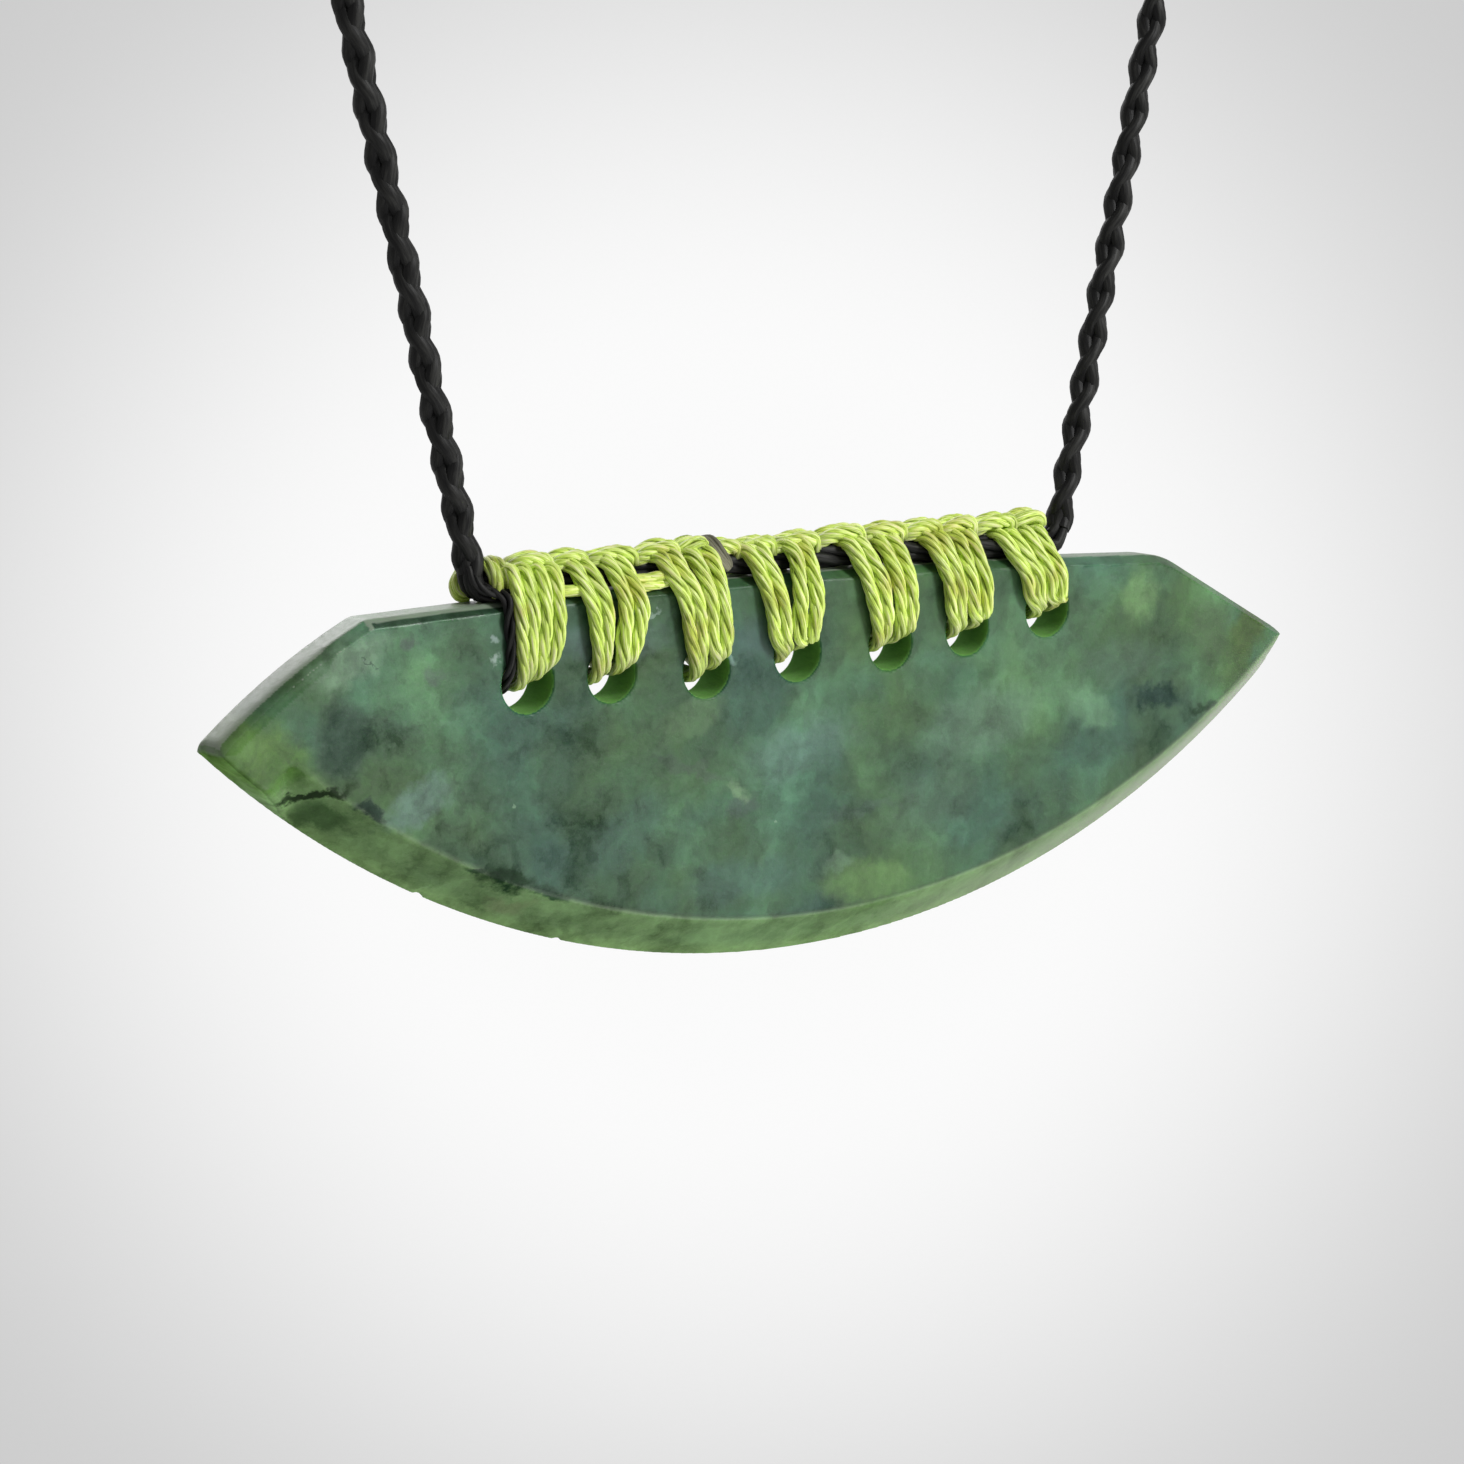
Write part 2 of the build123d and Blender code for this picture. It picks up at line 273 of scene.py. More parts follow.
@dataclass(frozen=True)
class PolishedNephrite:
    """Nephrite jade, sawn, ground and hand polished: deep cloudy green, a satin gloss, and painted light where it is
    thin and on its bevel and walls.
    """

    deep: str = "28462E"
    body: str = "3F6742"
    pale: str = "62956A"
    bevel: str = "80A16D"
    thin: str = "8CB070"
    wall: str = "A0AA98"
    bore: str = "66954F"
    roughness: float = 0.36
    patches: tuple[Patch, ...] = ()

    def make(self) -> Material:
        """Returns the stone's material."""
        material, tree, shader = new_material("polished_nephrite")
        place = slab_millimetres(tree)
        # bends of 1 to 10 mm that make the outlines of clouds and inclusions ragged
        bend = noise(tree, place, 0.16, 6.0, 0.68)
        bent = vector(tree, "ADD", place, wander(tree, bend, 5.5))
        colour = self.clouds(tree, bent)
        # painted light: the down-facing bevel is painted lighter and yellower, and where the stone is thin it is
        # painted yellow green towards its edge, standing in for light let through
        colour = blend(tree, spread(tree, attribute(tree, "under"), 0.0, 1.0, 0.0, 0.85), colour, self.bevel)
        ragged = calc(tree, "MULTIPLY_ADD", bend.outputs["Fac"], -1.6, attribute(tree, "depth_mm"))
        colour = blend(tree, spread(tree, ragged, 1.6, -0.4, 0.0, 0.6), colour, self.thin)
        # bends of 1 to 3 mm keep each patch in its place with a ragged outline
        near = vector(tree, "ADD", place, wander(tree, noise(tree, place, 0.42, 5.0, 0.62), 3.4))
        for patch in self.patches:
            colour = blend(tree, patch.factor(tree, near), colour, patch.colour)
        colour = vector(tree, "SCALE", colour, self.mottle(tree, place, bent))
        # painted light and shade: the shade mark darkens the top chamfer and the bevel's ridge and lightens the left
        # tip's bevel
        colour = vector(tree, "SCALE", colour, attribute(tree, "shade"))
        # painted reflection makes the walls and the bevel's right end paler than the polished face, and the drilled
        # walls are painted a plain green that stands in for light coming through the stone
        colour = blend(tree, attribute(tree, "pale"), colour, self.wall)
        colour = blend(tree, attribute(tree, "bore"), colour, self.bore)
        # pits and polishing lines, drawn at 0.3 mm so that they show
        grain = noise(tree, place, 2.6, 6.0, 0.7).outputs["Fac"]
        lines = add(tree, "ShaderNodeMapping", {0: place, 2: (0, 0.6, 0), 3: (0.4, 1.0, 7.0)}).outputs[0]
        height = calc(tree, "MULTIPLY_ADD", noise(tree, lines, 1.1, 3.0).outputs["Fac"], 0.4, grain)
        bump = add(tree, "ShaderNodeBump", {"Strength": 0.12, "Distance": 0.0001, "Height": height})
        # the drill leaves its walls matt, and the ground bevel and dark inclusions take less polish
        polish = spread(tree, attribute(tree, "matt"), 0.0, 1.0, 0.5, 0.0, smooth=False)
        green = add(tree, "ShaderNodeSeparateColor", {0: colour}).outputs[1]
        taken = spread(tree, green, 0.03, 0.1, 0.25, 1.0)
        wire(tree, shader, {
            "Base Color": colour,
            "Normal": bump.outputs[0],
            "Roughness": spread(tree, grain, 0.35, 0.7, self.roughness - 0.05, self.roughness + 0.12),
            "Specular IOR Level": calc(tree, "MULTIPLY", polish, taken),
            "IOR": 1.61,
            "Subsurface Weight": 0.3,
            "Subsurface Radius": (0.5, 1.0, 0.4),
            "Subsurface Scale": 0.0009,
        })
        return material

    def clouds(self, tree: NodeTree, bent: NodeSocket) -> NodeSocket:
        """Adds clouds of 12 to 20 mm, as in the rough stone, between blue green and yellow green.

        Args:
            tree: the node tree.
            bent: coordinates in millimetres, bent.

        Returns:
            The colour socket.
        """
        cloud = noise(tree, bent, 0.075, 3.0).outputs["Fac"]
        colour = ramp(tree, cloud, [(0.365, self.deep), (0.475, self.body), (0.525, self.body), (0.645, self.pale)])
        hue = noise(tree, bent, 0.11, 2.0, seed=3.0).outputs["Fac"]
        return blend(tree, 0.38, colour, ramp(tree, hue, [(0.36, "3E7066"), (0.5, "426A46"), (0.64, "547A34")]))

    @staticmethod
    def mottle(tree: NodeTree, place: NodeSocket, bent: NodeSocket) -> NodeSocket:
        """Adds the light and dark of felted fibres, at 1 to 2 mm, grainier at the left end than elsewhere.

        Args:
            tree: the node tree.
            place: coordinates in millimetres.
            bent: the same, bent.

        Returns:
            The brightness socket.
        """
        fibres = noise(tree, bent, 0.6, 7.0, 0.66).outputs["Fac"]
        smoke = noise(tree, bent, 0.22, 3.0, 0.55).outputs["Fac"]
        light = spread(tree, calc(tree, "ADD", smoke, fibres), 0.68, 1.32, 0.38, 1.22, smooth=False)
        sideways = add(tree, "ShaderNodeSeparateXYZ", {0: place}).outputs[0]
        grainy = spread(tree, sideways, -28.0, -4.0, 1.1, 0.8)
        return add(tree, "ShaderNodeMix", {0: grainy, 2: 0.8, 3: light}, data_type="FLOAT").outputs[0]


@dataclass(frozen=True)
class WaxedThread:
    """Multi-ply thread drawn through wax: filaments along each ply and a soft shine, with painted shade in the grooves
    between and painted highlights on the crests.
    """

    name: str
    light: str
    body: str
    shade: str
    groove_shade: str
    roughness: float = 0.42
    sheen: float = 0.1
    gloss: float = 0.5
    soil: str | None = None

    def make(self) -> Material:
        """Returns the thread's material."""
        material, tree, shader = new_material(self.name)
        skin = add(tree, "ShaderNodeSeparateXYZ", {0: attribute(tree, "skin", "Vector")})
        tone = attribute(tree, "tone")
        run = calc(tree, "MULTIPLY", attribute(tree, "along"), 900.0)
        place = add(tree, "ShaderNodeCombineXYZ", {0: skin.outputs[0], 1: skin.outputs[1], 2: run}).outputs[0]
        lane = add(tree, "ShaderNodeCombineXYZ", {0: tone, 1: tone, 2: tone}).outputs[0]
        own = vector(tree, "ADD", vector(tree, "MULTIPLY", place, (2.6, 2.6, 0.8)), vector(tree, "SCALE", lane, 37.0))
        # filaments of 0.02 mm, drawn at about 0.1 mm so that they show
        fibres = noise(tree, own, 1.0, 2.0, 0.55).outputs["Fac"]
        # painted shade darkens the grooves between the plies, and painted highlights brighten their crests
        height = spread(tree, attribute(tree, "crest"), -0.25, 1.0, 0.0, 0.5, smooth=False)
        fine = spread(tree, fibres, 0.32, 0.68, -0.06, 0.56, smooth=False)
        colour = ramp(tree, calc(tree, "ADD", height, fine),
                      [(0.1, self.groove_shade), (0.36, self.shade), (0.62, self.body), (0.92, self.light)])
        lift = spread(tree, tone, 0.0, 1.0, 0.86, 1.1, smooth=False)
        colour = vector(tree, "SCALE", colour, calc(tree, "MULTIPLY", lift, attribute(tree, "light")))
        if self.soil:
            # handling has rubbed the thread dull in places 2 to 4 mm long
            worn = noise(tree, add(tree, "ShaderNodeTexCoord").outputs["Object"], 330.0, 3.0).outputs["Fac"]
            colour = blend(tree, spread(tree, worn, 0.46, 0.68, 0.0, 0.6), colour, self.soil, mode="MULTIPLY")
        bump = add(tree, "ShaderNodeBump", {"Strength": 0.5, "Distance": 0.00008, "Height": fibres})
        wire(tree, shader, {"Base Color": colour, "Normal": bump.outputs[0], "Roughness": self.roughness,
                            "Sheen Weight": self.sheen, "Specular IOR Level": self.gloss, "IOR": 1.5})
        return material


@dataclass(frozen=True)
class PaperSweep:
    """Pale paper behind a hung piece that glows by itself, with painted light: even in the middle of the view and
    greyer towards its corners.
    """

    bright: float = 0.965
    dim: float = 0.612
    bright_angle: float = 0.09
    dim_angle: float = 0.264

    def make(self, eye: Vector, forward: Vector) -> Material:
        """Makes the paper.

        Args:
            eye: the place the light falls off round, in metres.
            forward: the direction in which the paper is brightest.

        Returns:
            The paper's material.
        """
        material, tree, shader = new_material("pale_paper")
        place = add(tree, "ShaderNodeTexCoord").outputs["Object"]
        ray = vector(tree, "NORMALIZE", vector(tree, "SUBTRACT", place, tuple(eye)))
        angle = calc(tree, "ARCCOSINE", vector(tree, "DOT_PRODUCT", ray, tuple(forward)))
        level = spread(tree, angle, self.bright_angle, self.dim_angle, self.bright, self.dim)
        tooth = spread(tree, noise(tree, place, 700.0, 2.0).outputs["Fac"], 0.3, 0.7, 0.994, 1.0, smooth=False)
        wire(tree, shader, {"Emission Strength": calc(tree, "MULTIPLY", level, tooth), "Emission Color": WHITE,
                            "Base Color": BLACK, "Roughness": 1.0, "Specular IOR Level": 0.0})
        return material


# the clouds of the real stone, each as the values of a Patch; the blue grey ones near the top edge, at x -18.4 and
# -4.4, are painted reflection of the sky
PATCHES = tuple(Patch(*values) for values in (
    (-47.2, 0.8, 5.4, 2.6, -20, "648C40", 0.85), (-44.7, -0.8, 2.2, 1.9, 0, "4F7A34", 0.60),
    (-40.0, 0.9, 2.2, 3.2, 0, "2C4636", 0.85), (-39.5, 6.1, 3.8, 1.8, 25, "84A886", 0.75),
    (-34.8, 6.6, 1.0, 0.7, 0, "56645E", 0.60), (-32.7, 4.4, 0.9, 0.7, 0, "56645E", 0.55),
    (-34.3, -4.2, 3.4, 1.5, 20, "6F8F86", 0.60), (-42.1, -2.7, 3.2, 0.5, 12, "243320", 0.95),
    (-40.9, -4.3, 2.3, 1.0, -20, "3C5A34", 0.70), (-38.0, -4.2, 1.8, 0.6, -35, "283C36", 0.85),
    (-26.8, -10.4, 2.9, 0.9, -18, "29452C", 1.0), (-29.4, -9.1, 1.3, 0.4, -5, "2B4630", 0.85),
    (-23.6, -11.6, 1.6, 0.6, -25, "304C38", 0.85), (-26.1, -12.3, 2.0, 0.7, -15, "77805F", 0.50),
    (-11.6, -4.1, 4.7, 0.5, -18, "49604C", 0.60), (-6.7, -7.7, 1.4, 1.2, 0, "455A50", 0.70),
    (-7.3, -6.3, 1.4, 0.7, -42, "86A87C", 0.50), (-1.6, -3.6, 5.6, 2.3, 10, "6A8E80", 0.55),
    (4.9, -14.3, 4.9, 1.9, -8, "6B9652", 0.65), (1.9, -12.6, 1.6, 0.9, 0, "7FA882", 0.45),
    (3.9, -8.9, 4.5, 0.5, 4, "44604F", 0.60), (10.6, -8.7, 5.4, 2.9, 15, "547459", 0.50),
    (26.4, -3.2, 3.4, 1.8, -20, "6C9A72", 0.60), (33.6, -3.1, 3.4, 1.0, -6, "2A463C", 0.95),
    (38.5, -4.2, 2.0, 0.6, 0, "2F4C34", 0.90), (31.4, 5.1, 2.0, 2.8, -8, "75A062", 0.65),
    (41.3, -1.1, 2.4, 2.9, 25, "50753A", 0.85), (43.2, 1.2, 3.6, 2.0, 60, "4B6A2C", 0.95),
    (39.0, 2.0, 2.4, 3.0, 15, "47633E", 0.75), (-6.7, -12.7, 6.8, 1.8, 0, "4C7468", 0.50),
    (-18.4, 5.8, 5.4, 2.0, 0, "5C7676", 0.50), (-4.4, 5.3, 3.6, 1.9, 0, "5C7876", 0.40),
    (-11.5, -0.5, 3.6, 1.6, 20, "64885C", 0.55), (-16.8, -7.9, 4.5, 2.5, 30, "46705F", 0.50),
    (15.4, -3.2, 7.2, 2.9, 10, "6C9176", 0.50), (29.4, 0.1, 5.0, 1.9, 0, "50705A", 0.50),
    (-27.8, 6.8, 0.4, 0.4, -20, "A9C0B8", 0.60), (-27.7, 5.1, 0.4, 0.4, 20, "B4C6BE", 0.60),
    (-14.5, 7.3, 0.8, 0.2, 20, "A0B6AC", 0.55), (-8.0, 3.8, 1.1, 0.6, -40, "8FB3A6", 0.60),
    (-38.0, 6.0, 0.8, 0.1, -25, "3C5A44", 0.80), (-26.5, -5.4, 0.22, 0.16, 0, "93B596", 0.60),
    (-3.6, -8.5, 0.22, 0.16, 0, "93B596", 0.60),
))


class Hand(Enum):
    """Which way the plies of a thread are laid."""

    RIGHT = 1.0
    LEFT = -1.0


@dataclass
class Run:
    """One length of thread: the points it follows, in metres."""

    points: list[Vector]
    closed: bool = False
    hand: Hand = Hand.RIGHT
    tone: float = 0.5
    girth: list[float] | None = None
    sheltered: bool = True

    def smooth(self, step: int = 8) -> list[Vector]:
        """Rounds the run through all its points.

        Args:
            step: points added for each span.

        Returns:
            The denser points, with the thread's girth as fourth value.
        """
        girths = self.girth or [1.0] * len(self.points)
        points = [Vector((*point, girth)) for point, girth in zip(self.points, girths)]
        count = len(points)
        spans = count if self.closed else count - 1
        result = []
        for i in range(spans):
            if self.closed:
                p0, p1, p2, p3 = (points[(i + k) % count] for k in (-1, 0, 1, 2))
            else:
                p1, p2 = points[i], points[i + 1]
                p0 = points[i - 1] if i > 0 else p1 * 2 - p2
                p3 = points[i + 2] if i + 2 < count else p2 * 2 - p1
            for k in range(step):
                t = k / step
                result.append(0.5 * ((2 * p1) + (p2 - p0) * t + (2 * p0 - 5 * p1 + 4 * p2 - p3) * t * t
                                     + (3 * p1 - p0 - 3 * p2 + p3) * t ** 3))
        if not self.closed:
            result.append(points[-1].copy())
        return result


@dataclass(frozen=True)
class Lay:
    """How plies are laid round a run, in millimetres."""

    ply: float
    off: float
    plies: int
    pitch: float
    step: float = 0.22
    sides: int = 8


class LaidThread:
    """Geometry nodes that lay plies in a helix, or braid them, round the runs of a line mesh."""

    def __init__(self, braided: bool = False) -> None:
        """Builds the tree.

        Args:
            braided: whether the plies cross over and under as in a round braid of four.
        """
        self.braided = braided
        self.tree = bpy.data.node_groups.new("round_braid" if braided else "laid_thread", "GeometryNodeTree")
        face = self.tree.interface
        face.new_socket("Geometry", in_out="INPUT", socket_type="NodeSocketGeometry")
        for name, value in (("Ply", 0.0003), ("Off", 0.0003), ("Pitch", 0.004), ("Step", 0.0002), ("Swing", 0.0)):
            face.new_socket(name, in_out="INPUT", socket_type="NodeSocketFloat").default_value = value
        for name, value in (("Plies", 3), ("Sides", 8)):
            face.new_socket(name, in_out="INPUT", socket_type="NodeSocketInt").default_value = value
        face.new_socket("Material", in_out="INPUT", socket_type="NodeSocketMaterial")
        face.new_socket("Geometry", in_out="OUTPUT", socket_type="NodeSocketGeometry")
        self.given = self.tree.nodes.new("NodeGroupInput").outputs
        self.build()

    def calc(self, operation: str, *values: object) -> NodeSocket:
        """Returns the result of a math node on sockets or numbers."""
        return calc(self.tree, operation, *values)

    def named(self, name: str, kind: str = "FLOAT") -> NodeSocket:
        """Returns the socket of an attribute of a kind."""
        return add(self.tree, "GeometryNodeInputNamedAttribute", {"Name": name}, data_type=kind).outputs["Attribute"]

    def store(self, geometry: NodeSocket, name: str, value: NodeSocket, kind: str = "FLOAT") -> NodeSocket:
        """Returns the geometry with an attribute stored on its points."""
        return add(self.tree, "GeometryNodeStoreNamedAttribute", {"Geometry": geometry, "Name": name, "Value": value},
                   data_type=kind, domain="POINT").outputs[0]

    def course(self, number: NodeSocket, along: NodeSocket, tone: NodeSocket) -> tuple[NodeSocket, NodeSocket, object]:
        """Works out how a ply goes round the line.

        Args:
            number: the ply's number.
            along: the share of the line that is behind each point.
            tone: the run's own tone, which also turns its plies.

        Returns:
            Its angle, its distance from the line and its girth.
        """
        length = add(self.tree, "GeometryNodeSplineLength").outputs["Length"]
        turns = self.calc("ROUND", self.calc("DIVIDE", length, self.given["Pitch"]))
        share = self.calc("DIVIDE", number, self.given["Plies"])
        turned = self.calc("MULTIPLY", turns, along)
        if self.braided:
            # odd strands go round the other way, and each passes over one crossing and under the next
            way = self.calc("MULTIPLY_ADD", self.calc("MODULO", number, 2.0), -2.0, 1.0)
            angle = self.calc("ADD", self.calc("MULTIPLY", self.calc("MULTIPLY", turned, math.tau), way),
                              self.calc("MULTIPLY", share, math.tau))
            swing = self.calc("MULTIPLY", self.calc("SINE", self.calc("MULTIPLY", angle, 2.0)), way)
            return angle, self.calc("MULTIPLY_ADD", swing, self.given["Swing"], self.given["Off"]), 1.0
        turned = self.calc("ADD", self.calc("MULTIPLY", turned, self.named("hand")), self.calc("ADD", share, tone))
        girth = self.named("girth")
        return self.calc("MULTIPLY", turned, math.tau), self.calc("MULTIPLY", self.given["Off"], girth), girth

    def build(self) -> None:
        """Adds the nodes."""
        tree, given = self.tree, self.given
        line = add(tree, "GeometryNodeMeshToCurve", {"Mesh": given["Geometry"]}).outputs[0]
        even = add(tree, "GeometryNodeResampleCurve", {"Curve": line, "Length": given["Step"]}, mode="LENGTH")
        copies = add(tree, "GeometryNodeDuplicateElements", {"Geometry": even.outputs[0], "Amount": given["Plies"]},
                     domain="SPLINE")
        number, tone = copies.outputs["Duplicate Index"], self.named("tone")
        spot = add(tree, "GeometryNodeSplineParameter").outputs
        angle, reach, girth = self.course(number, spot["Factor"], tone)
        normal = add(tree, "GeometryNodeInputNormal").outputs[0]
        side = vector(tree, "CROSS_PRODUCT", add(tree, "GeometryNodeInputTangent").outputs[0], normal)
        outward = vector(tree, "ADD", vector(tree, "SCALE", normal, self.calc("COSINE", angle)),
                         vector(tree, "SCALE", side, self.calc("SINE", angle)))
        # each ply swells and thins along its length, and lies a little unevenly
        place = add(tree, "GeometryNodeInputPosition").outputs[0]
        seed = self.calc("MULTIPLY_ADD", number, 7.0, self.calc("MULTIPLY", tone, 31.0))
        least, more, astray = (0.92, 0.16, 0.45) if self.braided else (0.68, 0.64, 1.7)
        swell = noise(tree, place, 330.0, 1.0, seed=seed).outputs["Fac"]
        thick = self.calc("MULTIPLY", girth, self.calc("MULTIPLY_ADD", swell, more, least))
        sized = add(tree, "GeometryNodeSetCurveRadius", {"Curve": copies.outputs[0], "Radius": thick}).outputs[0]
        marked = self.store(sized, "outward", outward, "FLOAT_VECTOR")
        stray = wander(tree, noise(tree, place, 420.0, 2.0, seed=seed), self.calc("MULTIPLY", given["Ply"], astray))
        shift = vector(tree, "ADD", vector(tree, "SCALE", outward, reach), stray)
        moved = add(tree, "GeometryNodeSetPosition", {"Geometry": marked, "Offset": shift}).outputs[0]
        toned = self.store(moved, "tone", self.calc("FRACT", self.calc("MULTIPLY_ADD", number, 0.382, tone)))
        self.dress(self.store(toned, "along", spot["Length"]))

    def dress(self, plies: NodeSocket) -> None:
        """Wraps a tube round each ply, gives it the material and ends the tree.

        Args:
            plies: their curves.
        """
        tree, given = self.tree, self.given
        ring = add(tree, "GeometryNodeCurvePrimitiveCircle", {"Resolution": given["Sides"], "Radius": given["Ply"]})
        around = vector(tree, "NORMALIZE", add(tree, "GeometryNodeInputPosition").outputs[0])
        profile = self.store(ring.outputs[0], "skin", around, "FLOAT_VECTOR")
        tubes = add(tree, "GeometryNodeCurveToMesh", {"Curve": plies, "Profile Curve": profile, "Fill Caps": True})
        facing = vector(tree, "DOT_PRODUCT", self.named("outward", "FLOAT_VECTOR"),
                        add(tree, "GeometryNodeInputNormal").outputs[0])
        crest = self.store(tubes.outputs[0], "crest", facing)
        soft = add(tree, "GeometryNodeSetShadeSmooth", {"Geometry": crest}).outputs[0]
        real = add(tree, "GeometryNodeRealizeInstances", {"Geometry": soft}).outputs[0]
        done = add(tree, "GeometryNodeSetMaterial", {"Geometry": real, "Material": given["Material"]}).outputs[0]
        tree.links.new(done, tree.nodes.new("NodeGroupOutput").inputs[0])

    def piece(self, name: str, line: Mesh, lay: Lay, material: Material, swing: float = 0.0) -> Object:
        """Lays plies round a line mesh and keeps the result as a plain mesh.

        Args:
            name: the piece's name.
            line: vertices and edges to follow.
            lay: sizes of the plies.
            material: the finish.
            swing: how far braided plies move in and out, in millimetres.

        Returns:
            The finished piece.
        """
        source = place_object(name + "_line", line)
        modifier = source.modifiers.new("lay", "NODES")
        modifier.node_group = self.tree
        values = {"Ply": lay.ply * MM, "Off": lay.off * MM, "Pitch": lay.pitch * MM, "Step": lay.step * MM,
                  "Swing": swing * MM, "Plies": lay.plies, "Sides": lay.sides, "Material": material}
        for item in self.tree.interface.items_tree:
            if item.in_out == "INPUT" and item.name in values:
                modifier[item.identifier] = values[item.name]
        return freeze(source, name)


def freeze(source: Object, name: str) -> Object:
    """Turns an object with modifiers into a plain mesh object and removes the source.

    Args:
        source: the mesh object to evaluate.
        name: the new object's name.

    Returns:
        The plain object.
    """
    bpy.context.view_layer.update()
    depsgraph = bpy.context.evaluated_depsgraph_get()
    mesh = bpy.data.meshes.new_from_object(source.evaluated_get(depsgraph), preserve_all_data_layers=True,
                                           depsgraph=depsgraph)
    mesh.name = name
    old = source.data
    bpy.data.objects.remove(source)
    if old.users == 0:
        bpy.data.meshes.remove(old)
    return place_object(name, mesh)


def set_marks(mesh: Mesh, marks: dict[str, list[float]]) -> None:
    """Stores float attributes on a mesh's points, by their names."""
    for name, values in marks.items():
        mesh.attributes.new(name, "FLOAT", "POINT").data.foreach_set("value", values)


def line_mesh(name: str, runs: list[Run]) -> Mesh:
    """Makes one mesh of edges from several runs.

    Args:
        name: the mesh's name.
        runs: the lengths of thread.

    Returns:
        The mesh, with the attributes hand, tone, girth and light on its points. Thin ends lie in a hole or under
        the next strand, where little light comes.
    """
    vertices, edges = [], []
    marks = {"hand": [], "tone": [], "girth": [], "light": []}
    for run in runs:
        points = run.smooth()
        count, first = len(points), len(vertices)
        vertices += [point.xyz for point in points]
        edges += [(first + i, first + i + 1) for i in range(count - 1)]
        if run.closed:
            edges.append((first + count - 1, first))
        marks["hand"] += [run.hand.value] * count
        marks["tone"] += [run.tone] * count
        marks["girth"] += [point.w for point in points]
        marks["light"] += [clamp(point.w * 2.0 - 1.0, 0.3) if run.sheltered else 1.0 for point in points]
    mesh = bpy.data.meshes.new(name)
    mesh.from_pydata(vertices, edges, [])
    set_marks(mesh, marks)
    return mesh


@dataclass
class Slab:
    """Sizes of the stone slab that the binding follows, in millimetres."""

    thickness: float = 3.4
    arch_radius: float = 788.56
    arch_centre: Pair = (-10.614, -779.389)

    def top(self, x: float) -> float:
        """Returns the height of the top edge at x."""
        return self.arch_centre[1] + math.sqrt(self.arch_radius ** 2 - (x - self.arch_centre[0]) ** 2)


